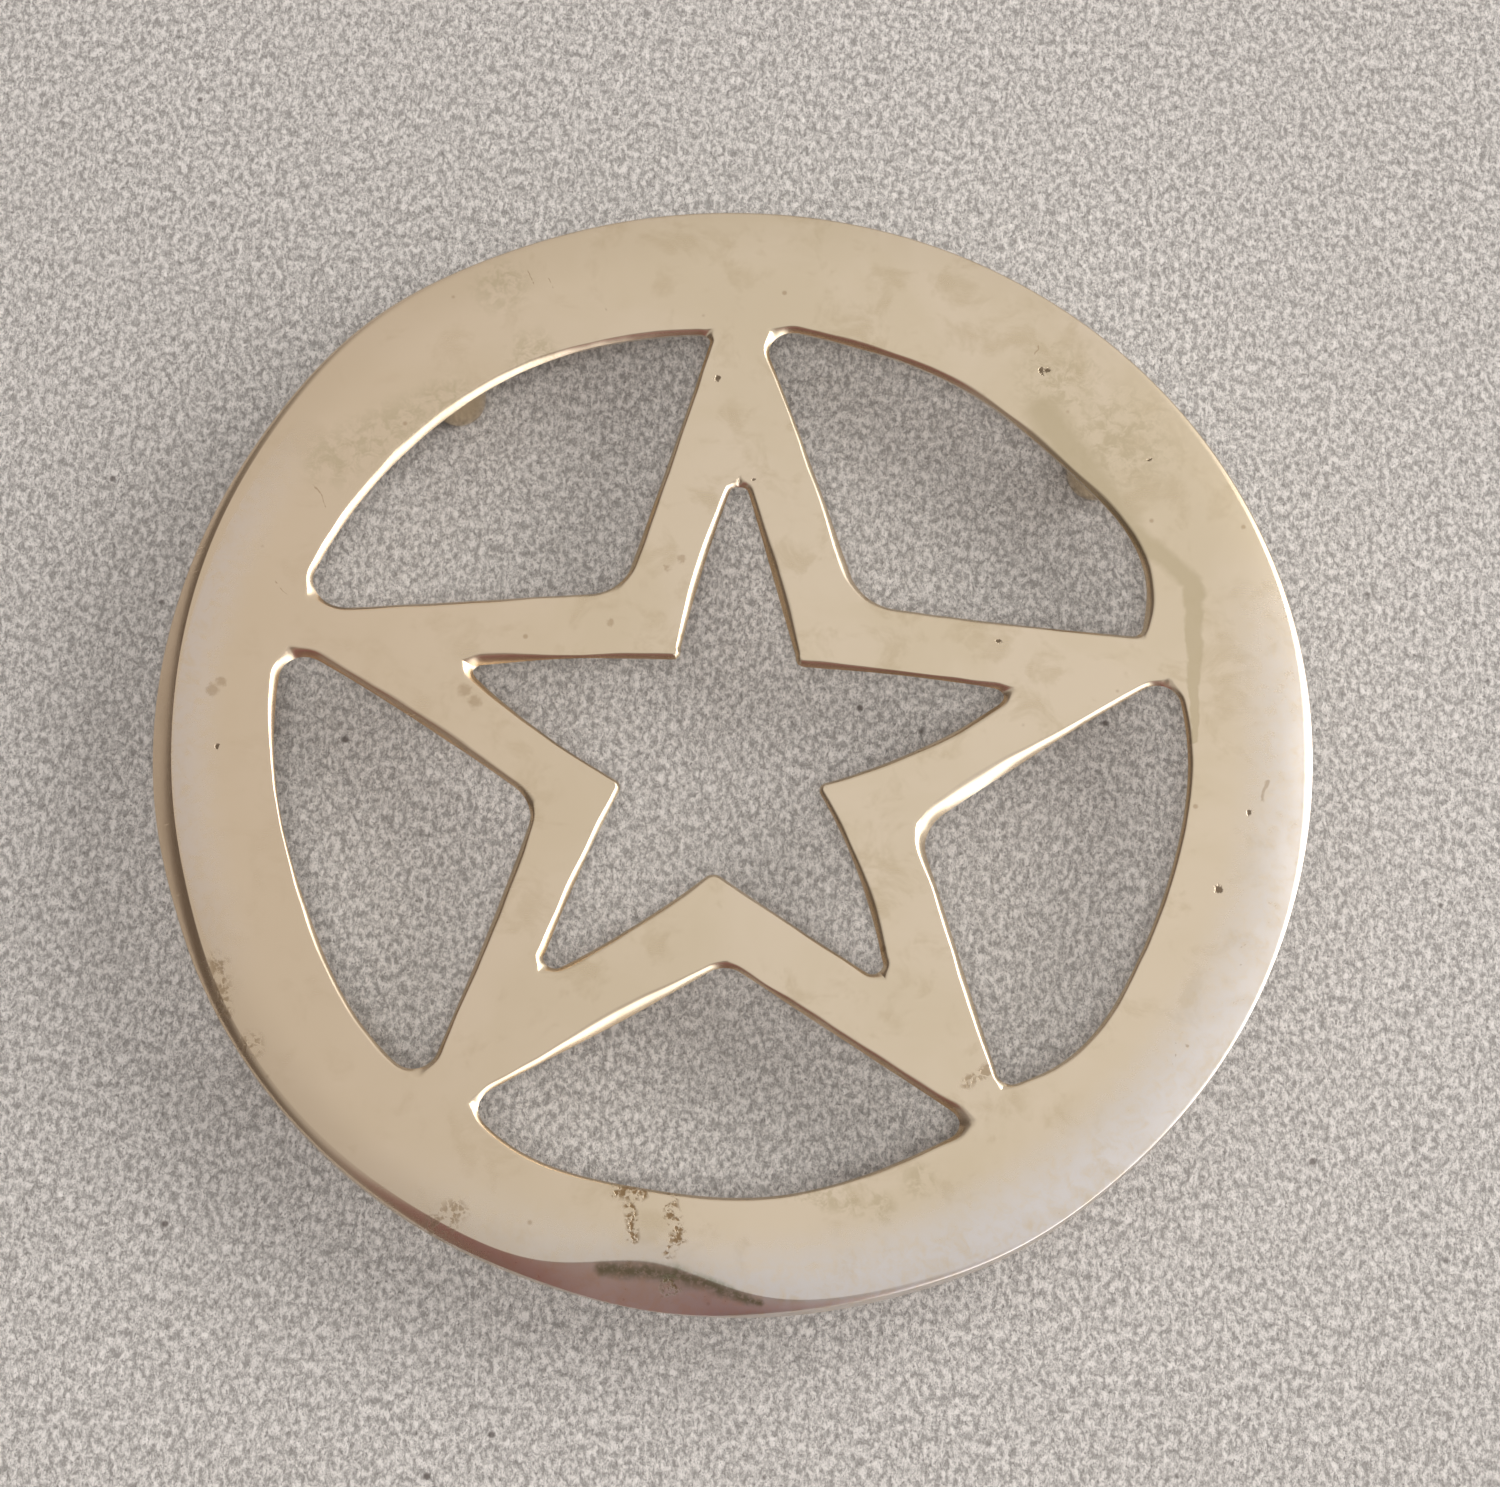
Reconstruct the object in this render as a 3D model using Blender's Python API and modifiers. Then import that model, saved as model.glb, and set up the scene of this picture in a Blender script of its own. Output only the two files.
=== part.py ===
"""Footed star trivet: a one-piece cast brass plate (a five-pointed star inside a
flat ring) standing on four turned brass feet, each held by a threaded stud.

Frame: metres, +Z up, origin at the bottom centre, on the surface the feet stand
on. +Y points along the star's top arm.
"""
import math

import bpy
import bmesh

# ---------------------------------------------------------------- dimensions
RING_R = 0.0800            # outer radius of the ring
RING_INNER_R = 0.0632      # inner edge of the ring, where the openings end
PLATE_T = 0.0046           # thickness of the casting
TOTAL_H = 0.0160           # height of the top face above the surface
PLATE_Z0 = TOTAL_H - PLATE_T

CROWN_R = 0.0732           # the flat top starts to fall away here
SHOULDER_R = 0.0774        # crease between the crowned top and the rim's bevel
SHOULDER_DROP = 0.00045    # fall of the crown at the crease
BEVEL_DROP = 0.0034        # depth of the rim's bevel below the top face
RIM_FOOT_R = 0.0007        # rounding of the rim's lower edge
RING_STEPS = 96            # facets round the ring

INNER_CENTRE = (-0.0004, -0.0013)  # the openings were set out a little off the ring's centre
STAR_CENTRE = (-0.0013, -0.0029)   # and so was the star
# The pattern was cut by hand, so the arms and notches differ a little:
# turn from the regular place in degrees, radius to the outer corner where the
# two straight edges would meet, turn and radius of the star opening's corner.
ARMS = ((1.0, 0.0737, -0.5, 0.0460),      # top arm, then anticlockwise
        (2.8, 0.0676, 1.0, 0.0415),
        (0.7, 0.0689, -0.5, 0.0449),
        (1.4, 0.0673, 0.8, 0.0398),
        (-2.3, 0.0680, -3.0, 0.0462))
NOTCHES = ((-2.5, 0.0277, -1.8, 0.0158),  # between the top arm and the next, and on
           (-0.3, 0.0260, -0.4, 0.0155),
           (-0.9, 0.0282, -2.9, 0.0172),
           (-2.4, 0.0272, 0.8, 0.0145),
           (-3.4, 0.0295, -1.8, 0.0163))
NOTCH_FILLET = 0.0031      # cast radius in the outer notches
ARM_FILLET = 0.0016        # cast radius where an arm runs into the ring
HOLE_TIP_FILLET = 0.0008
HOLE_NOTCH_FILLET = 0.0009
EDGE_BEVEL = 0.0008        # dressed edge all round the openings

FOOT_RADIUS_POS = 0.0683   # the feet's distance from the centre, under the ring
FOOT_ANGLES = (43.0, 128.0, 219.0, 305.0)   # set out by eye, not on exact quarters
FOOT_BELLY_R = 0.0040      # widest radius of a foot
FOOT_TOP_R = 0.0033        # radius of its shoulder against the plate
FOOT_BASE_R = 0.0027       # flat it stands on
GAP = 0.0003               # clearance between neighbouring pieces
FOOT_H = PLATE_Z0 - GAP
FOOT_HOLE_DEPTH = 0.0064   # tapped hole in the foot
SOCKET_DEPTH = 0.0030      # tapped blind hole in the plate's underside
STUD_R = 0.0015            # 3 mm stud
STUD_HOLE_R = STUD_R + GAP
STUD_CHAMFER = 0.0003

BRASS = (0.66, 0.52, 0.34)
FOOT_BRASS = (0.68, 0.55, 0.37)
STUD_STEEL = (0.55, 0.53, 0.50)


# ---------------------------------------------------------------- housekeeping
for ob in list(bpy.data.objects):
    bpy.data.objects.remove(ob, do_unlink=True)

scene = bpy.context.scene
parts = bpy.data.collections.new("star_trivet")
cutters = bpy.data.collections.new("star_trivet_cutters")
scene.collection.children.link(parts)
scene.collection.children.link(cutters)


def material(name, colour, roughness, metallic):
    mat = bpy.data.materials.new(name)
    mat.use_nodes = True
    shader = mat.node_tree.nodes["Principled BSDF"]
    shader.inputs["Base Color"].default_value = (*colour, 1.0)
    shader.inputs["Roughness"].default_value = roughness
    shader.inputs["Metallic"].default_value = metallic
    return mat


def smooth(mesh, degrees):
    mesh.shade_smooth()
    mesh.set_sharp_from_angle(angle=math.radians(degrees))


def turned(name, profile, steps, collection, mat=None, sharp=40.0):
    """Solid of revolution about Z from (radius, height) points, given from the
    axis at the top, down the outer side, to the axis at the bottom."""
    mesh = bpy.data.meshes.new(name)
    verts = [(r, 0.0, z) for r, z in profile]
    edges = [(i, i + 1) for i in range(len(verts) - 1)]
    mesh.from_pydata(verts, edges, [])
    ob = bpy.data.objects.new(name, mesh)
    collection.objects.link(ob)
    screw = ob.modifiers.new("turn", 'SCREW')
    screw.axis = 'Z'
    screw.angle = math.tau
    screw.steps = steps
    screw.render_steps = steps
    screw.use_merge_vertices = True
    screw.merge_threshold = 0.00001
    screw.use_smooth_shade = True
    if mat is not None:
        mesh.materials.append(mat)
    return ob


def as_mesh(ob, name, collection, mat=None, sharp=40.0):
    """Replace an object by its evaluated mesh, welded, in the same place."""
    bpy.context.view_layer.update()
    deps = bpy.context.evaluated_depsgraph_get()
    mesh = bpy.data.meshes.new_from_object(ob.evaluated_get(deps))
    bm = bmesh.new()
    bm.from_mesh(mesh)
    bmesh.ops.remove_doubles(bm, verts=bm.verts, dist=1e-6)
    bm.to_mesh(mesh)
    bm.free()
    world = ob.matrix_world.copy()
    bpy.data.objects.remove(ob, do_unlink=True)
    new = bpy.data.objects.new(name, mesh)
    new.matrix_world = world
    collection.objects.link(new)
    mesh.materials.clear()
    if mat is not None:
        mesh.materials.append(mat)
    smooth(mesh, sharp)
    return new


def prism(name, outline, z_mid, half, collection):
    """Straight prism from a closed flat outline."""
    curve = bpy.data.curves.new(name, 'CURVE')
    curve.dimensions = '2D'
    curve.fill_mode = 'BOTH'
    curve.extrude = half
    spline = curve.splines.new('POLY')
    spline.points.add(len(outline) - 1)
    for point, (x, y) in zip(spline.points, outline):
        point.co = (x, y, 0.0, 1.0)
    spline.use_cyclic_u = True
    ob = bpy.data.objects.new(name, curve)
    ob.location = (0.0, 0.0, z_mid)
    collection.objects.link(ob)
    return as_mesh(ob, name, collection)


def hide_as_cutter(ob):
    ob.hide_render = True
    ob.display_type = 'WIRE'


# ---------------------------------------------------------------- flat outlines
def polar(radius, degrees, centre=(0.0, 0.0)):
    a = math.radians(degrees)
    return (centre[0] + radius * math.cos(a), centre[1] + radius * math.sin(a))


def fillet(before, corner, after, radius, steps):
    """Points of the arc that rounds one corner of a straight-sided outline."""
    ux, uy = before[0] - corner[0], before[1] - corner[1]
    vx, vy = after[0] - corner[0], after[1] - corner[1]
    lu, lv = math.hypot(ux, uy), math.hypot(vx, vy)
    ux, uy, vx, vy = ux / lu, uy / lu, vx / lv, vy / lv
    half = 0.5 * math.acos(max(-1.0, min(1.0, ux * vx + uy * vy)))
    reach = radius / math.tan(half)
    bx, by = ux + vx, uy + vy
    lb = math.hypot(bx, by)
    cx = corner[0] + bx / lb * radius / math.sin(half)
    cy = corner[1] + by / lb * radius / math.sin(half)
    a0 = math.atan2(corner[1] + uy * reach - cy, corner[0] + ux * reach - cx)
    a1 = math.atan2(corner[1] + vy * reach - cy, corner[0] + vx * reach - cx)
    turn = (a1 - a0 + math.pi) % math.tau - math.pi
    return [(cx + radius * math.cos(a0 + turn * i / steps),
             cy + radius * math.sin(a0 + turn * i / steps)) for i in range(steps + 1)]


def arm_corner(k):
    turn, radius = ARMS[k % 5][:2]
    return polar(radius, 90.0 + 72.0 * k + turn, STAR_CENTRE)


def notch_corner(k):
    turn, radius = NOTCHES[k % 5][:2]
    return polar(radius, 126.0 + 72.0 * k + turn, STAR_CENTRE)


def star_opening():
    corners, radii = [], []
    for k in range(5):
        turn, radius = ARMS[k][2:]
        corners.append(polar(radius, 90.0 + 72.0 * k + turn, STAR_CENTRE))
        radii.append(HOLE_TIP_FILLET)
        turn, radius = NOTCHES[k][2:]
        corners.append(polar(radius, 126.0 + 72.0 * k + turn, STAR_CENTRE))
        radii.append(HOLE_NOTCH_FILLET)
    outline = []
    n = len(corners)
    for i in range(n):
        outline += fillet(corners[i - 1], corners[i], corners[(i + 1) % n], radii[i], 4)
    return outline


def ring_fillet(notch, tip):
    """Centre of the arc that joins the arm's edge (notch to tip) to the ring's
    inner circle, and the points where it touches both."""
    dx, dy = tip[0] - notch[0], tip[1] - notch[1]
    length = math.hypot(dx, dy)
    dx, dy = dx / length, dy / length
    out = (notch[0] - STAR_CENTRE[0], notch[1] - STAR_CENTRE[1])
    side = 1.0 if dx * out[1] - dy * out[0] > 0.0 else -1.0
    nx, ny = -dy * side, dx * side            # unit normal into the opening
    px = notch[0] + nx * ARM_FILLET - INNER_CENTRE[0]
    py = notch[1] + ny * ARM_FILLET - INNER_CENTRE[1]
    reach = RING_INNER_R - ARM_FILLET
    b = px * dx + py * dy
    c = px * px + py * py - reach * reach
    s = -b + math.sqrt(b * b - c)
    cx, cy = px + dx * s, py + dy * s
    scale = RING_INNER_R / math.hypot(cx, cy)
    on_ring = (INNER_CENTRE[0] + cx * scale, INNER_CENTRE[1] + cy * scale)
    cx, cy = cx + INNER_CENTRE[0], cy + INNER_CENTRE[1]
    on_line = (cx - nx * ARM_FILLET, cy - ny * ARM_FILLET)
    return (cx, cy), on_line, on_ring


def arc(centre, start, end, steps):
    a0 = math.atan2(start[1] - centre[1], start[0] - centre[0])
    a1 = math.atan2(end[1] - centre[1], end[0] - centre[0])
    turn = (a1 - a0 + math.pi) % math.tau - math.pi
    radius = math.hypot(start[0] - centre[0], start[1] - centre[1])
    return [(centre[0] + radius * math.cos(a0 + turn * i / steps),
             centre[1] + radius * math.sin(a0 + turn * i / steps)) for i in range(steps + 1)]


def ring_opening(k):
    """Opening between arm k and arm k + 1: two arm edges and the ring's arc."""
    notch = notch_corner(k)
    centre_a, line_a, ring_a = ring_fillet(notch, arm_corner(k))
    centre_b, line_b, ring_b = ring_fillet(notch, arm_corner(k + 1))
    outline = arc(centre_a, line_a, ring_a, 4)
    outline += arc(INNER_CENTRE, ring_a, ring_b, 12)[1:]
    outline += arc(centre_b, ring_b, line_b, 4)[1:]
    outline += fillet(line_b, notch, line_a, NOTCH_FILLET, 5)
    return outline


# ---------------------------------------------------------------- materials
brass = material("cast_brass", BRASS, 0.36, 1.0)
foot_brass = material("turned_brass", FOOT_BRASS, 0.22, 1.0)
stud_metal = material("stud_metal", STUD_STEEL, 0.4, 1.0)

# ---------------------------------------------------------------- the casting
rim = []
for i in range(1, 5):
    # the crown: a shallow parabola from the flat to the crease
    t = i / 4.0
    rim.append((CROWN_R + (SHOULDER_R - CROWN_R) * t, TOTAL_H - SHOULDER_DROP * t * t))
for i in range(1, 5):
    # the bevel: starts at about 45 degrees and steepens to the rim
    a = math.radians(40.0 * i / 4.0)
    t = math.sin(a) / math.sin(math.radians(40.0))
    drop = SHOULDER_DROP + (BEVEL_DROP - SHOULDER_DROP) * (i / 4.0) ** 1.15
    rim.append((SHOULDER_R + (RING_R - SHOULDER_R) * t, TOTAL_H - drop))
lower = []
for i in range(0, 4):
    a = math.radians(90.0 * i / 3.0)
    lower.append((RING_R - RIM_FOOT_R + RIM_FOOT_R * math.cos(a),
                  PLATE_Z0 + RIM_FOOT_R - RIM_FOOT_R * math.sin(a)))
profile = [(0.0, TOTAL_H), (CROWN_R, TOTAL_H)] + rim + lower + [(0.0, PLATE_Z0)]
plate = turned("star_ring_plate", profile, RING_STEPS, parts)
plate = as_mesh(plate, "star_ring_plate", parts, brass)

openings = [prism("cut_star", star_opening(), TOTAL_H - PLATE_T / 2, PLATE_T, cutters)]
for k in range(5):
    openings.append(prism("cut_gap_%d" % (k + 1), ring_opening(k),
                          TOTAL_H - PLATE_T / 2, PLATE_T, cutters))
for ob in openings:
    hide_as_cutter(ob)
    cut = plate.modifiers.new(ob.name, 'BOOLEAN')
    cut.operation = 'DIFFERENCE'
    cut.solver = 'EXACT'
    cut.object = ob

dress = plate.modifiers.new("dressed_edges", 'BEVEL')
dress.limit_method = 'ANGLE'
dress.angle_limit = math.radians(62.0)
dress.width = EDGE_BEVEL
dress.segments = 2

for i, angle in enumerate(FOOT_ANGLES):
    x, y = polar(FOOT_RADIUS_POS, angle)
    mesh = bpy.data.meshes.new("cut_socket_%d" % (i + 1))
    bm = bmesh.new()
    bmesh.ops.create_cone(bm, cap_ends=True, segments=24, radius1=STUD_HOLE_R,
                          radius2=STUD_HOLE_R, depth=2.0 * SOCKET_DEPTH)
    bm.to_mesh(mesh)
    bm.free()
    ob = bpy.data.objects.new(mesh.name, mesh)
    ob.location = (x, y, PLATE_Z0)
    cutters.objects.link(ob)
    hide_as_cutter(ob)
    cut = plate.modifiers.new(ob.name, 'BOOLEAN')
    cut.operation = 'DIFFERENCE'
    cut.solver = 'EXACT'
    cut.object = ob

# ---------------------------------------------------------------- the feet
def foot_profile():
    """Tapped hole from the top, then the shoulder, the belly and the base."""
    points = [(0.0, FOOT_H - FOOT_HOLE_DEPTH), (STUD_HOLE_R, FOOT_H - FOOT_HOLE_DEPTH),
              (STUD_HOLE_R, FOOT_H), (FOOT_TOP_R - 0.0003, FOOT_H),
              (FOOT_TOP_R, FOOT_H - 0.0003)]
    top, base, n = FOOT_H - 0.0003, 0.0006, 8
    for i in range(1, n):
        # the side swells to the belly and draws in again towards the base
        t = i / n
        end = FOOT_TOP_R + (FOOT_BASE_R + 0.0004 - FOOT_TOP_R) * t
        points.append((end + (FOOT_BELLY_R - 0.5 * (FOOT_TOP_R + FOOT_BASE_R + 0.0004))
                       * math.sin(math.pi * t), top + (base - top) * t))
    points += [(FOOT_BASE_R + 0.0004, 0.0006), (FOOT_BASE_R + 0.00022, 0.0002),
               (FOOT_BASE_R, 0.0), (0.0, 0.0)]
    return points


def stud_profile():
    z1 = PLATE_Z0 + SOCKET_DEPTH - GAP
    z0 = FOOT_H - FOOT_HOLE_DEPTH + GAP
    return [(0.0, z1), (STUD_R - STUD_CHAMFER, z1), (STUD_R, z1 - STUD_CHAMFER),
            (STUD_R, z0 + STUD_CHAMFER), (STUD_R - STUD_CHAMFER, z0), (0.0, z0)]


foot_mesh = None
stud_mesh = None
for i, angle in enumerate(FOOT_ANGLES):
    x, y = polar(FOOT_RADIUS_POS, angle)
    if foot_mesh is None:
        foot = as_mesh(turned("foot_1", foot_profile(), 28, parts), "foot_1", parts, foot_brass)
        foot_mesh = foot.data
        stud = as_mesh(turned("foot_stud_1", stud_profile(), 20, parts), "foot_stud_1", parts, stud_metal)
        stud_mesh = stud.data
    else:
        foot = bpy.data.objects.new("foot_%d" % (i + 1), foot_mesh)
        parts.objects.link(foot)
        stud = bpy.data.objects.new("foot_stud_%d" % (i + 1), stud_mesh)
        parts.objects.link(stud)
    foot.location = (x, y, 0.0)
    stud.location = (x, y, 0.0)

bpy.context.view_layer.update()
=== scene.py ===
import math

import bpy
import numpy as np
from mathutils import Matrix, Vector, noise
from mathutils.geometry import delaunay_2d_cdt


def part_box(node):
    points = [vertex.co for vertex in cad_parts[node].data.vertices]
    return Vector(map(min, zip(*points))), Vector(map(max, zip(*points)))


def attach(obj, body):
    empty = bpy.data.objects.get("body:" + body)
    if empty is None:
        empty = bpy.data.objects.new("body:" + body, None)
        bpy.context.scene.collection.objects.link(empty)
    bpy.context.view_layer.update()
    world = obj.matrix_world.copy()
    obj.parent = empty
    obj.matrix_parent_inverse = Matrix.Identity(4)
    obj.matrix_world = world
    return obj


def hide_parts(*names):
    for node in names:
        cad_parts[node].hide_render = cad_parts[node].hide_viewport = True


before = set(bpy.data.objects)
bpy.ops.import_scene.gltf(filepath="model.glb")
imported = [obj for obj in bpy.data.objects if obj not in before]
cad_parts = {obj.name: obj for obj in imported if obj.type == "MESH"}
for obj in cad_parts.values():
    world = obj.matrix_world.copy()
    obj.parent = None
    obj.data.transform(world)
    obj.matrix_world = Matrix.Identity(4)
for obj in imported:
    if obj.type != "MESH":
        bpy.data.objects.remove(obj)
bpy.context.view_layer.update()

# ---------------------------------------------------------------- sizes, mm
PLATE_LO, PLATE_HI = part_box("star_ring_plate")
TOP = PLATE_HI.z * 1000.0
BOTTOM = PLATE_LO.z * 1000.0
RIM_R = PLATE_HI.x * 1000.0
WALL_FOOT = 0.30          # small broken edge under each opening wall
SOCKET_R, SOCKET_DEPTH = 1.8, 3.0
FEET = [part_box("foot_%d" % k) for k in (1, 2, 3, 4)]

# Each opening between two arms: (degrees from its middle, radius) of its two ring corners, the ring
# edge's radius at 12, 35, 60 and 85 % of the way, the inner corner, the bow of its two straight
# sides and the three corner radii. The opening's middle is at 126 + 72 k degrees.
OPENINGS = (
    ((-31.2, 61.26), (40.0, 63.74), (61.82, 62.96, 63.14, 63.44), (-16.45, 20.15), (-.13, -.06), (1.9, 6.3, 4.9)),
    ((-28.9, 63.97), (34.5, 64.64), (63.53, 63.10, 63.17, 64.83), (-26.18, -10.20), (-.68, -.44), (3.9, 6.0, 3.8)),
    ((-33.2, 62.95), (33.5, 63.21), (64.84, 64.60, 64.62, 63.49), (0.07, -31.35), (.10, .00), (4.0, 4.2, 2.9)),
    ((-34.2, 61.09), (30.2, 61.62), (63.54, 63.27, 62.48, 62.36), (25.13, -11.61), (-.02, -.55), (2.3, 6.8, 3.7)),
    ((-37.1, 58.34), (36.1, 62.84), (62.49, 62.18, 62.14, 61.93), (16.57, 19.94), (-.45, .32), (1.7, 7.9, 3.9)),
)
SHARE = (0, .12, .35, .6, .85, 1)
# The star-shaped hole: points, inner corners, bows of its ten sides, corner radii.
HOLE_TIPS = ((-.9, 41.6), (-38.8, 9.4), (-26.0, -36.3), (22.2, -34.8), (39.8, 9.0))
HOLE_NOTCHES = ((-8.5, 11.7), (-15.5, -7.6), (-2.1, -19.8), (12.0, -6.7), (8.5, 11.5))
HOLE_BOWS = (-.6, -.5, -1.1, -.5, -.8, -.2, -1.5, -1.5, -.4, -.1)
HOLE_TIP_R = (1.7, 1.8, 1.9, 1.8, 1.9)
HOLE_NOTCH_R = (.5, .5, 1.6, .4, .8)


def bump1(a, centre, width):
    """bell of height 1 about centre, angles in degrees"""
    d = (a - centre + 180.0) % 360.0 - 180.0
    return np.exp(-(d / width) ** 2)


def rim_radius(a):
    """the rim was ground by hand, so it isn't a true circle"""
    return (RIM_R - .12 + 1.15 * bump1(a, 132, 13) - .25 * bump1(a, 254, 12)
            - .45 * bump1(a, 352, 26) + .40 * bump1(a, 300, 9) - .15 * bump1(a, 92, 14)
            - .30 * bump1(a, 200, 8))


def ground_flat(a):
    """the long flat ground on the front of the rim: it ends more quickly on the right"""
    return np.where(a < 264, bump1(a, 264, 9.0), bump1(a, 264, 9.5))


def rim_width(a):
    """how far in from the rim the ground edge starts"""
    return (1.05 + 1.8 * bump1(a, 184, 26) + 4.7 * ground_flat(a) + .55 * bump1(a, 242, 12)
            + .4 * bump1(a, 95, 30) - .58 * bump1(a, 318, 34) + .6 * bump1(a, 0, 11))


def rim_drop(a):
    """how far down the ground edge reaches"""
    return (1.05 + 1.9 * bump1(a, 184, 26) + 2.3 * ground_flat(a) + .4 * bump1(a, 242, 12)
            + .3 * bump1(a, 95, 30) - .5 * bump1(a, 318, 34))


def rim_round(a):
    """0: a flat ground facet with a crease, 1: a soft rounding"""
    return np.clip(1 - bump1(a, 184, 40) - 1.25 * bump1(a, 258, 24), 0, 1)


# ---------------------------------------------------------------- outlines
def spline(xs, ys, x):
    """natural cubic through a few points"""
    xs, ys = np.asarray(xs, float), np.asarray(ys, float)
    n, h = len(xs), np.diff(xs)
    A, b = np.zeros((n, n)), np.zeros(n)
    A[0, 0] = A[-1, -1] = 1
    for i in range(1, n - 1):
        A[i, i - 1], A[i, i], A[i, i + 1] = h[i - 1], 2 * (h[i - 1] + h[i]), h[i]
        b[i] = 3 * ((ys[i + 1] - ys[i]) / h[i] - (ys[i] - ys[i - 1]) / h[i - 1])
    c = np.linalg.solve(A, b)
    k = np.clip(np.searchsorted(xs, x, 'right') - 1, 0, n - 2)
    d = x - xs[k]
    lin = (ys[k + 1] - ys[k]) / h[k] - h[k] * (2 * c[k] + c[k + 1]) / 3
    return ys[k] + lin * d + c[k] * d * d + (c[k + 1] - c[k]) / (3 * h[k]) * d ** 3


def bowed(p, q, bow, n=24):
    """from p towards q, bulging to the left of the run by bow at the middle"""
    p, q = np.asarray(p, float), np.asarray(q, float)
    t = np.linspace(0, 1, n, endpoint=False)
    d = q - p
    left = np.array((-d[1], d[0])) / np.linalg.norm(d)
    return p + np.outer(t, d) + np.outer(4 * t * (1 - t) * bow, left)


def round_corners(P, corners, res=20):
    """a closed run of points with the named corners rounded to their radii"""
    P = np.asarray(P, float)
    N = len(P)
    seg = np.linalg.norm(np.roll(P, -1, 0) - P, axis=1)
    s = np.concatenate([[0], np.cumsum(seg)])
    L = s[-1]

    def at(x):
        x = x % L
        k = min(int(np.searchsorted(s, x, 'right') - 1), N - 1)
        return P[k] + (P[(k + 1) % N] - P[k]) * ((x - s[k]) / max(seg[k], 1e-12))

    spans = []
    for k, r in corners.items():
        e = 1.0
        for _ in range(3):
            u, v = at(s[k] - e) - P[k], at(s[k] + e) - P[k]
            u, v = u / np.linalg.norm(u), v / np.linalg.norm(v)
            ang = math.acos(max(-1, min(1, float(np.dot(u, v)))))
            cut = r / math.tan(ang / 2)
            e = max(cut, .3)
        spans.append((s[k] - cut, s[k] + cut, k, ang))
    spans.sort(key=lambda q: q[0])
    out = []
    for i, (a, b, k, ang) in enumerate(spans):
        A, B = at(a), at(b)
        ta, tb = A - at(a - .1), at(b + .1) - B
        M, C = np.array([ta, -tb]).T, P[k]
        if abs(np.linalg.det(M)) > 1e-9:
            uu = np.linalg.solve(M, B - A)
            if uu[0] > 0 and uu[1] < 0:
                C = A + ta * uu[0]
        m = max(6, int(res * (math.pi - ang) / math.pi * 2))
        t = np.linspace(0, 1, m + 1)[:, None]
        b0, b1, b2 = (1 - t) ** 2, 2 * t * (1 - t) * math.sin(ang / 2), t * t
        out += list((b0 * A + b1 * C + b2 * B) / (b0 + b1 + b2))
        end = spans[(i + 1) % len(spans)][0] + (L if i + 1 == len(spans) else 0)
        out += [at(x) for x in sorted(s[j] + sh for j in range(N) for sh in (0, L)
                                      if b + 1e-6 < s[j] + sh < end - 1e-6)]
    return np.array(out)


def opening_loop(k):
    (a0, r0), (a1, r1), mids, notch, bows, fillets = OPENINGS[k]
    base, m = 126 + 72 * k, 48
    share = np.linspace(0, 1, m, endpoint=False)
    r = spline(SHARE, (r0,) + mids + (r1,), share)
    a = np.radians(base + a0 + (a1 - a0) * share)
    edge = np.stack([r * np.cos(a), r * np.sin(a)], 1)
    end = math.radians(base + a1)
    B = (r1 * math.cos(end), r1 * math.sin(end))
    P = np.vstack([edge, bowed(B, notch, bows[1]), bowed(notch, edge[0], bows[0])])
    return round_corners(P, {0: fillets[0], m: fillets[2], m + 24: fillets[1]})


def hole_loop():
    P, corners, k = [], {}, 0
    for j in range(5):
        corners[k] = HOLE_TIP_R[j]
        P.append(bowed(HOLE_TIPS[j], HOLE_NOTCHES[j], HOLE_BOWS[2 * j]))
        corners[k + 24] = HOLE_NOTCH_R[j]
        P.append(bowed(HOLE_NOTCHES[j], HOLE_TIPS[(j + 1) % 5], HOLE_BOWS[2 * j + 1]))
        k += 48
    return round_corners(np.vstack(P), corners)


def even(P, step):
    """evenly spaced points along a closed run"""
    Q = np.vstack([P, P[:1]])
    s = np.concatenate([[0], np.cumsum(np.linalg.norm(np.diff(Q, axis=0), axis=1))])
    n = max(8, int(round(s[-1] / step)))
    x = np.arange(n) * s[-1] / n
    return np.stack([np.interp(x, s, Q[:, 0]), np.interp(x, s, Q[:, 1])], 1)


def blur(v, n):
    """periodic moving average"""
    k = np.ones(n) / n
    if v.ndim == 1:
        return np.convolve(np.concatenate([v[-n:], v, v[:n]]), k, 'same')[n:-n]
    return np.stack([blur(c, n) for c in v.T], 1)


def adapted(P):
    """points along a closed run, closer together where it turns"""
    D = blur(even(P, .05), 5)
    T = np.roll(D, -1, 0) - np.roll(D, 1, 0)
    a = np.unwrap(np.arctan2(T[:, 1], T[:, 0]))
    turn = np.abs(np.diff(np.concatenate([a, [a[0] + 2 * math.pi]]))) / .05
    turn = blur(turn, 11)
    space = blur(np.clip(.15 / np.maximum(turn, 1e-6), .11, .62), 41)
    s = np.concatenate([[0], np.cumsum(.05 / space)])
    n = int(round(s[-1]))
    x = np.arange(n) * s[-1] / n
    Q = np.vstack([D, D[:1]])
    return np.stack([np.interp(x, s, Q[:, 0]), np.interp(x, s, Q[:, 1])], 1)


def into_metal(P):
    """unit normals out of the opening"""
    T = np.roll(P, -1, 0) - np.roll(P, 1, 0)
    n = np.stack([T[:, 1], -T[:, 0]], 1)
    return n / np.linalg.norm(n, axis=1)[:, None]


def noise1(P, size, seed):
    return np.array([noise.noise(Vector((x / size, y / size, seed))) for x, y in P])


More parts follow.
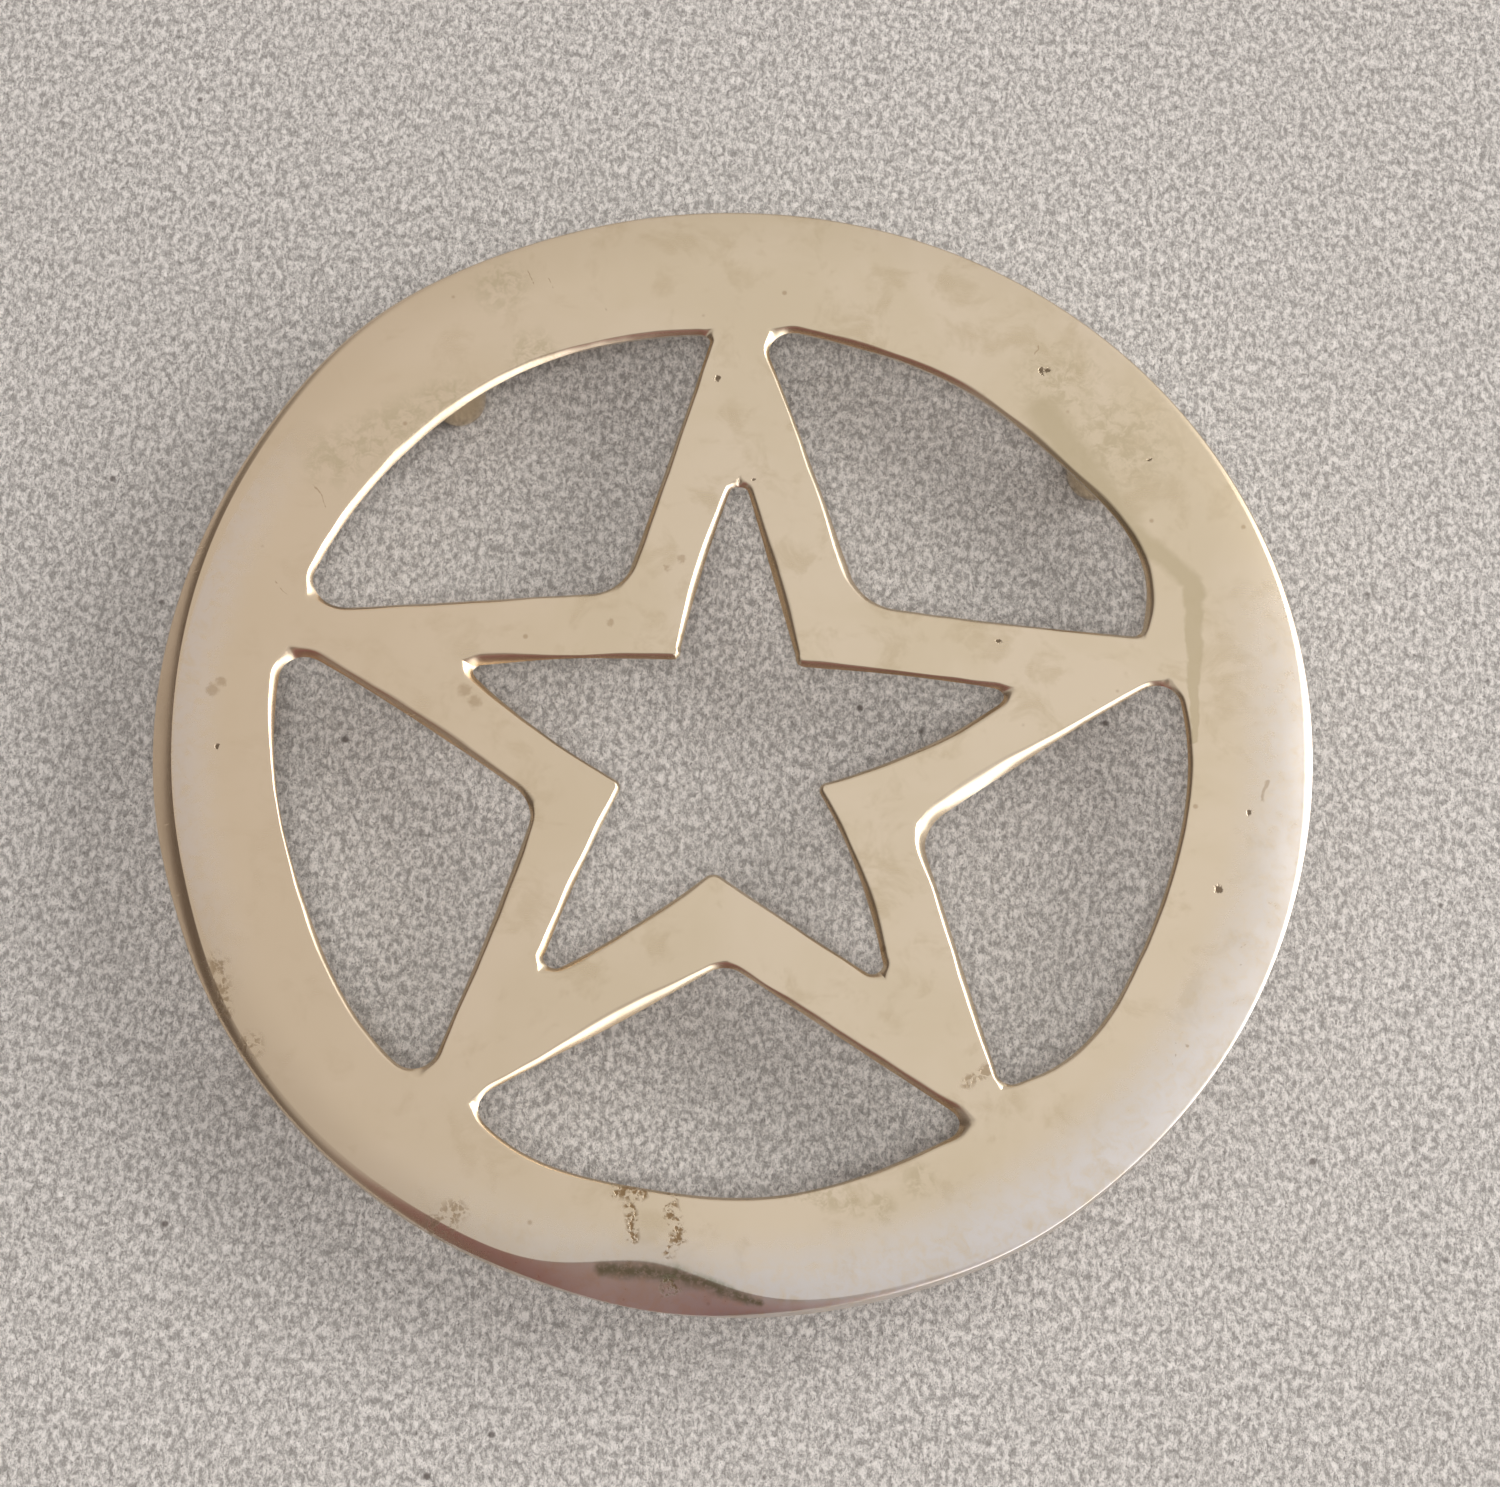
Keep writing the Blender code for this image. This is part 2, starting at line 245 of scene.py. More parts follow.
# Places where the filed edge is wider or narrower than elsewhere: x, y, reach, change in mm
FILED = (
    (-38, 7, 9, .75), (36, -5, 9, 1.25), (27, -11, 7, .7), (9, 27, 9, .55), (12, 17, 6, .3),
    (-23, 12.6, 9, -.25), (-14, -40, 9, .9), (-27, -24, 8, .3), (-50, 37, 13, .35),
    (-40, 49, 10, .3), (-62, 6, 9, .5), (-61, -13, 12, -.3), (27, -33, 11, .35),
    (40, 47, 12, -.1), (58, 24, 8, .45), (24, 10.5, 8, -.2), (-8, 24, 10, .35),
    (-42, 10, 3, .5), (42, 9, 3, .8), (29, -43, 4, .7), (33, -53, 4, .8), (-29, -38, 3, .6), (23, -37, 3, .5),
)


def file_width(P):
    w = .66 + .22 * noise1(P, 9.0, 3.1) + .10 * noise1(P, 3.0, 8.4)
    for x, y, reach, more in FILED:
        w += .95 * more * np.exp(-((P[:, 0] - x) ** 2 + (P[:, 1] - y) ** 2) / reach ** 2)
    return np.maximum(w, .34)


def corner_reach(P, w, cap):
    """extra width of the filed edge in rounded corners, so that its upper line runs to a point"""
    T = np.roll(P, -1, 0) - P
    seg = np.linalg.norm(T, axis=1)
    a = np.arctan2(T[:, 1], T[:, 0])
    turn = (a - np.roll(a, 1) + math.pi) % (2 * math.pi) - math.pi
    rate = blur(turn / np.maximum((seg + np.roll(seg, 1)) / 2, 1e-9), 5)
    inside = rate > .07
    N = len(P)
    extra = np.zeros(N)
    start = next(k for k in range(N) if not inside[k])
    k = start
    while k < start + N:
        if inside[k % N]:
            e = k
            while inside[(e + 1) % N]:
                e += 1
            idx = np.arange(k, e + 1) % N
            total = turn[idx].sum()
            if total > .6:
                half = min(total / 2, 1.38)
                r = seg[idx].sum() / total
                phi = np.clip(np.abs(np.cumsum(turn[idx]) - turn[idx] / 2 - total / 2), 0, half)
                more = (r + w[idx]) * (1 / np.cos(half - phi) - 1) ** 1.8
                extra[idx] = more * min(1.0, cap / more.max())
            k = e + 1
        else:
            k += 1
    return extra


def offset(P, n, d):
    """P moved by d along n. Where the run would cross itself, at a sharp inner corner, the crossed
    points are gathered where it crosses."""
    Q = P + n * d[:, None]
    N = len(P)
    T, TQ = np.roll(P, -1, 0) - P, np.roll(Q, -1, 0) - Q
    back = (T * TQ).sum(1) <= 0
    k = 0
    while k < N:
        if back[k]:
            e = k
            while back[(e + 1) % N] and e - k < 80:
                e += 1
            hit = None
            for reach in range(1, 46):
                A0, A1 = (k - reach) % N, (k - reach + 1) % N
                for other in range(1, 46):
                    B0, B1 = (e + other) % N, (e + other + 1) % N
                    r, q = Q[A1] - Q[A0], Q[B1] - Q[B0]
                    den = r[0] * q[1] - r[1] * q[0]
                    if abs(den) < 1e-12:
                        continue
                    w = Q[B0] - Q[A0]
                    t, u = (w[0] * q[1] - w[1] * q[0]) / den, (w[0] * r[1] - w[1] * r[0]) / den
                    if -1e-9 <= t <= 1 and -1e-9 <= u <= 1:
                        hit = (k - reach + 1, e + other, Q[A0] + r * t)
                        break
                if hit:
                    break
            if hit:
                for j in range(hit[0], hit[1] + 1):
                    Q[j % N] = hit[2]
            k = e + 1
        else:
            k += 1
    return Q


# ---------------------------------------------------------------- the plate's top surface
def polar(P):
    return np.hypot(P[:, 0], P[:, 1]), np.degrees(np.arctan2(P[:, 1], P[:, 0])) % 360


def top_height(P):
    """height of the polished face: nearly flat, a low crown towards the rim, the ground rim"""
    r, a = polar(P)
    w, h, soft = rim_width(a), rim_drop(a), rim_round(a)
    s = rim_radius(a) - r
    crown = 4.0 + 3.0 * soft
    c = .20 + .16 * soft
    u = np.clip((w + crown - s) / crown, 0, 1)
    z = -c * np.where(s > w, u ** 2, 1 + 2 * (w - s) / crown * .6)
    v = np.clip((w - s) / w, 0, 1)
    rest = h - c
    facet = .74 * v + .26 * v ** 2
    rounded = 1 - np.sqrt(np.clip(1 - v ** 2, 0, 1))
    z = z - np.where(s < w, (rest - c * .6 * 2 * np.minimum(w, w) / crown * v) * (facet * (1 - soft) + rounded * soft), 0)
    wave = np.array([noise.noise(Vector((x / 17.0, y / 17.0, 5.2))) + .35 * noise.noise(Vector((x / 6.5, y / 6.5, 1.7)))
                     for x, y in P])
    return TOP - .035 + z + .03 * wave * np.clip(s / 3.0, 0, 1)


# ---------------------------------------------------------------- mesh building
class Shell:
    def __init__(self):
        self.co, self.faces = [], []

    def add(self, P, z):
        first = len(self.co)
        z = np.broadcast_to(z, (len(P),))
        self.co += [(p[0], p[1], h) for p, h in zip(P, z)]
        return np.arange(first, first + len(P))

    def band(self, a, b):
        """quads between two closed runs of equal length"""
        n = len(a)
        for k in range(n):
            j = (k + 1) % n
            self.faces.append((a[k], a[j], b[j], b[k]))

    def fill(self, loops, inside, height, flip):
        """triangles over a flat region bounded by closed runs already in the shell"""
        pts, edges, ids = [], [], []
        for loop in loops:
            keep, seen = [], None
            for v in loop:
                p = self.co[v][:2]
                if seen is None or abs(p[0] - seen[0]) + abs(p[1] - seen[1]) > 1e-5:
                    keep.append(v)
                    seen = p
            first = len(pts)
            pts += [Vector(self.co[v][:2]) for v in keep]
            ids += list(keep)
            n = len(keep)
            edges += [(first + k, first + (k + 1) % n) for k in range(n)]
        own = self.add(inside, height(inside))
        pts += [Vector(p) for p in inside]
        ids += list(own)
        _, _, tris, orig, _, _ = delaunay_2d_cdt(pts, edges, [], 0, 1e-6, True)
        names = [ids[o[0]] if o else None for o in orig]
        T = np.array([t for t in tris if all(names[v] is not None for v in t)])
        V = np.array([self.co[n][:2] if n is not None else (0, 0) for n in names])
        C = V[T].mean(1)
        polys = [np.array([self.co[v][:2] for v in loop]) for loop in loops]
        odd = np.zeros(len(C), int)
        for Q in polys:
            odd += inside_of(C, Q)
        A = V[T]
        area = (A[:, 1, 0] - A[:, 0, 0]) * (A[:, 2, 1] - A[:, 0, 1]) - (A[:, 2, 0] - A[:, 0, 0]) * (A[:, 1, 1] - A[:, 0, 1])
        for t, o, ar in zip(T, odd, area):
            if o % 2 and abs(ar) > 1e-9:
                f = [names[v] for v in t]
                if (ar < 0) != flip:
                    f.reverse()
                self.faces.append(tuple(f))

    def build(self, name, mats=()):
        mesh = bpy.data.meshes.new(name)
        mesh.from_pydata([(x * .001, y * .001, z * .001) for x, y, z in self.co], [], self.faces)
        import bmesh
        bm = bmesh.new()
        bm.from_mesh(mesh)
        bmesh.ops.remove_doubles(bm, verts=bm.verts, dist=2e-7)
        bmesh.ops.dissolve_degenerate(bm, dist=1e-8, edges=bm.edges)
        loose = [v for v in bm.verts if not v.link_faces]
        bmesh.ops.delete(bm, geom=loose, context='VERTS')
        bmesh.ops.recalc_face_normals(bm, faces=bm.faces)
        bm.to_mesh(mesh)
        bm.free()
        mesh.validate()
        mesh.shade_smooth()
        mesh.set_sharp_from_angle(angle=math.radians(30))
        ob = bpy.data.objects.new(name, mesh)
        bpy.context.scene.collection.objects.link(ob)
        for m in mats:
            mesh.materials.append(m)
        return ob


def inside_of(C, Q):
    """1 for each point of C inside the closed run Q"""
    x1, y1 = Q[:, 0], Q[:, 1]
    x2, y2 = np.roll(x1, -1), np.roll(y1, -1)
    out = np.zeros(len(C), int)
    for a in range(0, len(C), 4000):
        c = C[a:a + 4000]
        cy, cx = c[:, 1:2], c[:, 0:1]
        cross = (y1 > cy) != (y2 > cy)
        with np.errstate(divide='ignore', invalid='ignore'):
            xi = x1 + (cy - y1) * (x2 - x1) / (y2 - y1)
        out[a:a + 4000] = (cross & (cx < xi)).sum(1) % 2
    return out


def near(C, Q, gap):
    """True for each point of C closer than gap to the points Q"""
    out = np.zeros(len(C), bool)
    for a in range(0, len(C), 2000):
        c = C[a:a + 2000]
        d = (c[:, None, 0] - Q[None, :, 0]) ** 2 + (c[:, None, 1] - Q[None, :, 1]) ** 2
        out[a:a + 2000] = d.min(1) < gap * gap
    return out


def lattice(step, radius):
    k = int(radius / step) + 3
    pts = []
    for j in range(-k, k + 1):
        y = j * step * math.sqrt(3) / 2
        for i in range(-k, k + 1):
            x = (i + (j % 2) * .5) * step
            if x * x + y * y < radius * radius:
                pts.append((x + .07 * step * noise.noise(Vector((x, y, 2.2))), y + .07 * step * noise.noise(Vector((x, y, 7.2)))))
    return np.array(pts)


def make_plate():
    sh = Shell()
    top_edges, low_edges = [], []
    loops = [opening_loop(k) for k in range(5)] + [hole_loop()]
    for P in loops:
        P = adapted(P)
        n = into_metal(P)
        w = blur(file_width(P), 3)
        h = np.minimum(1.02 * w, 1.6) * (1 + .12 * noise1(P, 5.0, 6.6))
        w = w + corner_reach(P, w, .80)
        draft = .42 + .62 * np.clip(n[:, 1], 0, 1)
        inward = draft / 2 + .42 * np.clip(n[:, 1], 0, 1)
        last = None
        for f in (0, .05, .13, .25, .40, .56, .72, .87, 1.0, 1.18, 1.6):
            Q = offset(P, n, f * w - inward)
            z = top_height(Q) - h * np.clip(1 - f, 0, 1) ** 1.45
            ring = sh.add(Q, z)
            if f == 0:
                z_top = z
                first = ring
            else:
                sh.band(last, ring)
            last = ring
        top_edges.append(last)
        # drafted wall, slightly uneven as cast, then a small broken edge
        last = first
        for t in (.25, .5, .75, 1.0):
            z = z_top + (BOTTOM + WALL_FOOT - z_top) * t
            Q = offset(P, n, (inward + draft / 2) * t - inward + .05 * noise1(P + t * 7, 4.0, 1.0) * math.sin(math.pi * t))
            ring = sh.add(Q, z)
            sh.band(ring, last)
            last = ring
        for out, up in ((.09, .09), (.30, 0.0)):
            ring = sh.add(offset(P, n, draft / 2 + out), BOTTOM + up)
            sh.band(ring, last)
            last = ring
        low_edges.append(last)
    # rim
    A = np.arange(0, 360, .5)
    r_out, w = rim_radius(A), rim_width(A)
    direction = np.stack([np.cos(np.radians(A)), np.sin(np.radians(A))], 1)
    last = None
    for u in (0, .03, .08, .16, .26, .38, .5, .62, .74, .84, .92, .97, 1.0, 1.03):
        Q = direction * (r_out - u * w)[:, None]
        ring = sh.add(Q, top_height(Q))
        if last is None:
            widest, z_rim = ring, top_height(Q)
        else:
            sh.band(ring, last)
        last = ring
    for more in (.5, 1.2, 2.2, 3.4):
        Q = direction * (r_out - 1.03 * w - more)[:, None]
        ring = sh.add(Q, top_height(Q))
        sh.band(ring, last)
        last = ring
    outer_top = last
    last = widest
    fall = z_rim - BOTTOM
    foot = .75
    for t in (.2, .4, .6, .8, 1.0):
        z = z_rim - (fall - foot) * t
        ring = sh.add(direction * (r_out - .04 * t)[:, None], z)
        sh.band(last, ring)
        last = ring
    for deg in (18, 36, 54, 72, 90):
        s, c = math.sin(math.radians(deg)), math.cos(math.radians(deg))
        ring = sh.add(direction * (r_out - .04 - foot * (1 - c))[:, None], BOTTOM + foot * (1 - s))
        sh.band(last, ring)
        last = ring
    outer_low = last
    # blind sockets for the feet, in the underside
    sockets = []
    for lo, hi in FEET:
        c = np.array(((lo.x + hi.x) * 500, (lo.y + hi.y) * 500))
        ring = c + SOCKET_R * np.stack([np.cos(np.linspace(0, 2 * math.pi, 40, endpoint=False)),
                                        np.sin(np.linspace(0, 2 * math.pi, 40, endpoint=False))], 1)
        a = sh.add(ring, BOTTOM)
        b = sh.add(ring, BOTTOM + SOCKET_DEPTH)
        sh.band(b, a)
        t = sh.add(np.array([c]), BOTTOM + SOCKET_DEPTH + .4)
        for k in range(40):
            sh.faces.append((b[(k + 1) % 40], b[k], t[0]))
        sockets.append(a)

    def points(step, runs, gap):
        L = lattice(step, 79.0)
        co = np.array([sh.co[v][:2] for run in runs for v in run])
        ok = ~near(L, co, gap)
        L = L[ok]
        inside = inside_of(L, np.array([sh.co[v][:2] for v in runs[0]]))
        for run in runs[1:]:
            inside += inside_of(L, np.array([sh.co[v][:2] for v in run]))
        return L[inside == 1]

    runs = [outer_top] + top_edges
    sh.fill(runs, points(1.5, runs, .8), top_height, False)
    runs = [outer_low] + low_edges + sockets
    sh.fill(runs, points(3.0, runs, 1.1), lambda P: np.full(len(P), BOTTOM), True)
    return sh.build("star_ring_plate_cast")


def make_foot(k):
    """a short round stub foot, rounded under, flared a little where it meets the plate"""
    lo, hi = FEET[k - 1]
    cx, cy = (lo.x + hi.x) * 500, (lo.y + hi.y) * 500
    rng = 64
    prof = [(1.8, BOTTOM - 6.4), (1.8, BOTTOM - .02)]
    t = BOTTOM
    prof += [(3.55, t - .02), (3.52, t - .25), (3.40, t - .55), (3.33, t - .95), (3.32, t - 1.5), (3.38, t - 2.2),
             (3.55, t - 3.2), (3.74, t - 4.3), (3.90, t - 5.5), (3.99, t - 6.6), (3.98, 3.6), (3.90, 2.6),
             (3.72, 1.8), (3.50, 1.15), (3.24, .65), (2.98, .30), (2.72, .08), (2.45, .0), (1.6, .0), (.8, .03)]
    sh = Shell()
    rings = []
    for j, (r, z) in enumerate(prof):
        a = np.linspace(0, 2 * math.pi, rng, endpoint=False)
        bulge = 1 + (.012 * np.sin(2 * a + k) + .006 * np.sin(5 * a + 2 * k)) * (1 if 3 < j < 18 else 0)
        rr = np.minimum(r * bulge, 4.0)
        rings.append(sh.add(np.stack([cx + rr * np.cos(a), cy + rr * np.sin(a)], 1), z))
    for a, b in zip(rings, rings[1:]):
        sh.band(b, a)
    tip = sh.add(np.array([(cx, cy)]), .04)
    deep = sh.add(np.array([(cx, cy)]), BOTTOM - 6.8)
    for j in range(rng):
        sh.faces.append((rings[-1][(j + 1) % rng], rings[-1][j], tip[0]))
        sh.faces.append((rings[0][j], rings[0][(j + 1) % rng], deep[0]))
    return sh.build("foot_%d_stub" % k)


# ---------------------------------------------------------------- materials
class Nodes:
    """small helper for writing node trees"""

    def __init__(self, tree):
        self.t = tree
        tree.nodes.clear()

    def new(self, kind, **props):
        n = self.t.nodes.new(kind)
        for k, v in props.items():
            setattr(n, k, v)
        return n

    def put(self, socket, value):
        if isinstance(value, bpy.types.NodeSocket):
            self.t.links.new(value, socket)
        elif value is not None:
            socket.default_value = value

    def math(self, op, a, b=None, c=None, clamp=False):
        n = self.new('ShaderNodeMath', operation=op, use_clamp=clamp)
        for i, v in enumerate((a, b, c)):
            if v is not None:
                self.put(n.inputs[i], v)
        return n.outputs[0]

    def vmath(self, op, a, b=None, scale=None):
        n = self.new('ShaderNodeVectorMath', operation=op)
        self.put(n.inputs[0], a)
        if b is not None:
            self.put(n.inputs[1], b)
        if scale is not None:
            self.put(n.inputs['Scale'], scale)
        return n.outputs['Value'] if op in ('LENGTH', 'DISTANCE', 'DOT_PRODUCT') else n.outputs[0]

    def ramp(self, v, lo, hi, a=0.0, b=1.0, kind='SMOOTHSTEP'):
        n = self.new('ShaderNodeMapRange', interpolation_type=kind)
        self.put(n.inputs['Value'], v)
        n.inputs['From Min'].default_value = lo
        n.inputs['From Max'].default_value = hi
        n.inputs['To Min'].default_value = a
        n.inputs['To Max'].default_value = b
        return n.outputs['Result']

    def noise(self, vec, scale, detail=3.0, rough=.5, distortion=0.0, out='Fac'):
        n = self.new('ShaderNodeTexNoise')
        self.put(n.inputs['Vector'], vec)
        n.inputs['Scale'].default_value = scale
        n.inputs['Detail'].default_value = detail
        n.inputs['Roughness'].default_value = rough
        n.inputs['Distortion'].default_value = distortion
        return n.outputs[0 if out == 'Fac' else 1]

    def voronoi(self, vec, scale, feature='F1', rand=1.0):
        n = self.new('ShaderNodeTexVoronoi', feature=feature)
        self.put(n.inputs['Vector'], vec)
        n.inputs['Scale'].default_value = scale
        n.inputs['Randomness'].default_value = rand
        return n

    def mapping(self, vec, loc=(0, 0, 0), rot=(0, 0, 0), scale=(1, 1, 1)):
        n = self.new('ShaderNodeMapping')
        self.put(n.inputs['Vector'], vec)
        n.inputs['Location'].default_value = loc
        n.inputs['Rotation'].default_value = rot
        n.inputs['Scale'].default_value = scale
        return n.outputs[0]

    def mix(self, fac, a, b, mode='MIX'):
        n = self.new('ShaderNodeMix', data_type='RGBA', blend_type=mode)
        self.put(n.inputs[0], fac)
        self.put(n.inputs[6], a)
        self.put(n.inputs[7], b)
        return n.outputs[2]

    def bump(self, height, strength, distance, normal=None):
        n = self.new('ShaderNodeBump')
        n.inputs['Strength'].default_value = strength
        n.inputs['Distance'].default_value = distance
        self.put(n.inputs['Height'], height)
        if normal is not None:
            self.put(n.inputs['Normal'], normal)
        return n.outputs[0]


def rgb(r, g, b):
    """sRGB 0-255 to a linear colour"""
    f = lambda c: c / 12.92 if c <= .04045 else ((c + .055) / 1.055) ** 2.4
    return (f(r / 255), f(g / 255), f(b / 255), 1.0)


def brass_material(name, plate):
    mat = bpy.data.materials.new(name)
    mat.use_nodes = True
    g = Nodes(mat.node_tree)
    out = g.new('ShaderNodeOutputMaterial')
    bsdf = g.new('ShaderNodeBsdfPrincipled')
    g.t.links.new(bsdf.outputs[0], out.inputs[0])
    co = g.new('ShaderNodeTexCoord').outputs['Object']
    mm = g.vmath('SCALE', co, scale=1000.0)
    sep = g.new('ShaderNodeSeparateXYZ')
    g.put(sep.inputs[0], mm)
    X, Y, Z = sep.outputs
    flat = g.new('ShaderNodeCombineXYZ')
    g.put(flat.inputs[0], X)
    g.put(flat.inputs[1], Y)
    P = flat.outputs[0]
    wob = g.vmath('SCALE', g.vmath('SUBTRACT', g.noise(mm, .35, 3, .6, out='Color'), (.5, .5, .5)), scale=1.6)
    PW = g.vmath('ADD', P, wob)                                    # gently warped place
    fine = g.vmath('SCALE', g.vmath('SUBTRACT', g.noise(mm, 2.2, 2, .6, out='Color'), (.5, .5, .5)), scale=.9)
    PF = g.vmath('ADD', PW, fine)

    # ---- colour
    clouds = g.noise(mm, .045, 4, .55, .6)
    clouds2 = g.noise(mm, .16, 5, .6, .4)
    base = g.mix(g.ramp(clouds, .35, .68), COLOURS['brass'], COLOURS['brass_pale'])
    base = g.mix(g.math('MULTIPLY', g.ramp(clouds2, .50, .70), .45), base, COLOURS['tarnish'])
    # painted shade: the left half of the face is tinted warmer and a little darker, standing in for the dim, warm side
    # of the room
    left_side_painted_shade = g.math('MULTIPLY', g.ramp(X, 10, -75), .75)
    base = g.mix(left_side_painted_shade, base, COLOURS['left_side_painted_shade'])
    rough = g.math('ADD', .20, g.math('MULTIPLY', clouds2, .10))
    height = g.math('MULTIPLY', g.noise(mm, .9, 3, .6), .0)

    if plate:
        R = g.vmath('LENGTH', P)
        ang = g.math('ARCTAN2', Y, X)

        def lobe(deg, width):
            d = g.math('COSINE', g.math('SUBTRACT', ang, math.radians(deg)))
            return g.ramp(d, math.cos(math.radians(width)), 1.0)

        def blob(x, y, r, soft=.45, where=None):
            d = g.vmath('DISTANCE', where or PF, (x, y, 0))
            return g.ramp(d, r * (1 + soft), r * (1 - soft))

        def line(ax, ay, bx, by, wa, wb, soft=.5, where=None):
            """mask of a tapering stroke from a to b, half widths wa and wb"""
            d = (bx - ax, by - ay, 0)
            L2 = d[0] ** 2 + d[1] ** 2
            rel = g.vmath('SUBTRACT', where or PW, (ax, ay, 0))
            t = g.math('MULTIPLY', g.vmath('DOT_PRODUCT', rel, d), 1 / L2, clamp=True)
            foot = g.vmath('SCALE', d, scale=t)
            dist = g.vmath('DISTANCE', rel, foot)
            w = g.math('MULTIPLY_ADD', t, wb - wa, wa)
            return g.ramp(g.math('DIVIDE', dist, w), 1 + soft, 1 - soft)

        upper = g.ramp(Z, BOTTOM + .2, BOTTOM + .7)                # the underside carries none of these marks

        def most(masks):
            m = masks[0]
            for k in masks[1:]:
                m = g.math('MAXIMUM', m, k)
            return g.math('MULTIPLY', m, upper)

        # whitish film rubbed dull by handling, near the left and lower right rim; near the lower right rim the whitish
        # tint is also a painted reflection of the bright window side
        grain = g.noise(mm, .55, 5, .7, .5)
        left = g.math('MULTIPLY', g.math('MULTIPLY', lobe(178, 36), .75), g.ramp(R, 77.2, 76.5))
        haze_and_sheen = g.math('MULTIPLY', g.ramp(R, 67.5, 77), g.math('MAXIMUM', lobe(300, 70), g.math('MULTIPLY', lobe(350, 34), .8)))
        haze_and_sheen = g.math('MULTIPLY', haze_and_sheen, g.ramp(grain, .22, .62, .25, 1.0))
        # painted reflection: the whitish tint on the lower right rim stands in for the window mirrored in the crowned
        # rim, on metal that is also rubbed dull
        base = g.mix(haze_and_sheen, base, COLOURS['haze_and_sheen'])
        left = g.math('MULTIPLY', g.math('MULTIPLY', left, g.ramp(R, 69, 76)), g.ramp(grain, .30, .60, .2, 1.0))
        base = g.mix(left, base, COLOURS['haze_left'])
        rough = g.math('ADD', rough, g.math('MULTIPLY', left, .08))
        rough = g.math('ADD', rough, g.math('MULTIPLY', haze_and_sheen, .10))
        # old run mark on the right of the ring and the dull patch it starts from
        run = most([line(62.8, 24.5, 63.0, 2.0, 1.45, .5, .25), line(52.0, 34.0, 62.6, 25.5, 1.6, 1.3, .5),
                    line(41.5, 50.0, 52.5, 34.0, 2.4, 2.6, .6)])
        base = g.mix(g.math('MULTIPLY', run, .8), base, COLOURS['run'])
        patch = g.math('MULTIPLY', most([blob(52, 46, 7, .8, PW), blob(44, 55, 5, .9, PW)]), g.ramp(grain, .42, .62))
        base = g.mix(g.math('MULTIPLY', patch, .8), base, COLOURS['run'])
        # brown spots
        spots = most([blob(*q) for q in SPOTS])
        base = g.mix(g.math('MULTIPLY', spots, .40), base, COLOURS['spot'])
        pits = most([blob(x, y, r, .3) for x, y, r in PITS])
        base = g.mix(g.math('MULTIPLY', pits, .85), base, COLOURS['pit'])
        rough = g.math('ADD', rough, g.math('MULTIPLY', pits, .35))
        # corroded crumbs in a few places
        crumb = g.voronoi(PF, 1.5)
        crumbs = g.ramp(crumb.outputs['Distance'], .72, .38)
        places = most([line(-12.6, -64.3, -9.5, -64.6, 1.0, .8, .5), line(-11.0, -66.5, -10.6, -70.6, .9, .7, .5),
                       line(-6.0, -65.0, -4.6, -70.6, .9, 1.0, .5), blob(-5.6, -72.0, .9, .5), blob(-5.3, -76.4, 1.5, .5),
                       g.math('MULTIPLY', most([line(-68.0, -35.5, -66.5, -42.0, 1.4, 1.0, .6), line(-36.2, -69.8, -33.8, -67.8, 1.8, 1.4, .6),
                                                blob(-62.7, -46.6, 1.6, .6), line(32.7, -47.8, 37.3, -44.8, .7, 1.0, .5)]), .62)])
        crumbs = g.math('MULTIPLY', g.math('MULTIPLY', crumbs, places), g.ramp(g.noise(mm, .62, 3), .40, .50))
        base = g.mix(g.math('MULTIPLY', crumbs, .9), base, COLOURS['crumb'])
        rough = g.math('ADD', rough, g.math('MULTIPLY', crumbs, .3))
        # scattered specks over the whole face
        v = g.voronoi(mm, .17)
        pick = g.new('ShaderNodeSeparateColor')
        g.put(pick.inputs[0], v.outputs['Color'])
        speck = g.math('MULTIPLY', g.ramp(v.outputs['Distance'], .085, .03), g.math('GREATER_THAN', pick.outputs[0], .62))
        base = g.mix(g.math('MULTIPLY', speck, .45), base, COLOURS['spot'])
        height = g.math('SUBTRACT', height, g.math('MULTIPLY', g.math('ADD', pits, g.math('MULTIPLY', crumbs, .5)), .07))
        smear = g.math('MULTIPLY', most([line(-14.4, -74.6, -4.6, -74.9, .7, 1.0, .9), line(-4.6, -74.9, 6.5, -78.2, 1.0, .4, .9)]),
                       g.ramp(g.noise(mm, 1.3, 4, .7), .32, .55, .45, 1.0))
        base = g.mix(g.math('MULTIPLY', smear, .92), base, COLOURS['smear'])
        stains = g.math('MULTIPLY', most([line(5, -62.5, 22, -65, 1.2, 1.8, .6), blob(27, -61, 2.2, .6), blob(-31, 55.5, 3.2, .7),
                                          blob(-36, 66, 3.5, .7), line(-58, 38, -42, 49, 3.5, 2.5, .8)]), g.ramp(grain, .40, .60))
        base = g.mix(g.math('MULTIPLY', stains, .7), base, COLOURS['run'])
        # nicks and short scratches near the outer edge
        nick = most([line(*q, .45) for q in NICKS])
        base = g.mix(g.math('MULTIPLY', nick, .45), base, COLOURS['spot'])
    # painted shade: the feet are darkened towards the stain colour, for feet that stand in the shadow under the plate
    if not plate:
        base = g.mix(.55, base, COLOURS['run'])
    # darker and rougher towards the foot of each wall and over the unpolished cast underside; along the foot of the
    # walls the darkening is painted shade
    if plate:
        under = g.ramp(Z, BOTTOM + 1.2, BOTTOM + .1)
        base = g.mix(g.math('MULTIPLY', under, .45), base, COLOURS['tarnish'])
        rough = g.math('ADD', rough, g.math('MULTIPLY', under, .22))
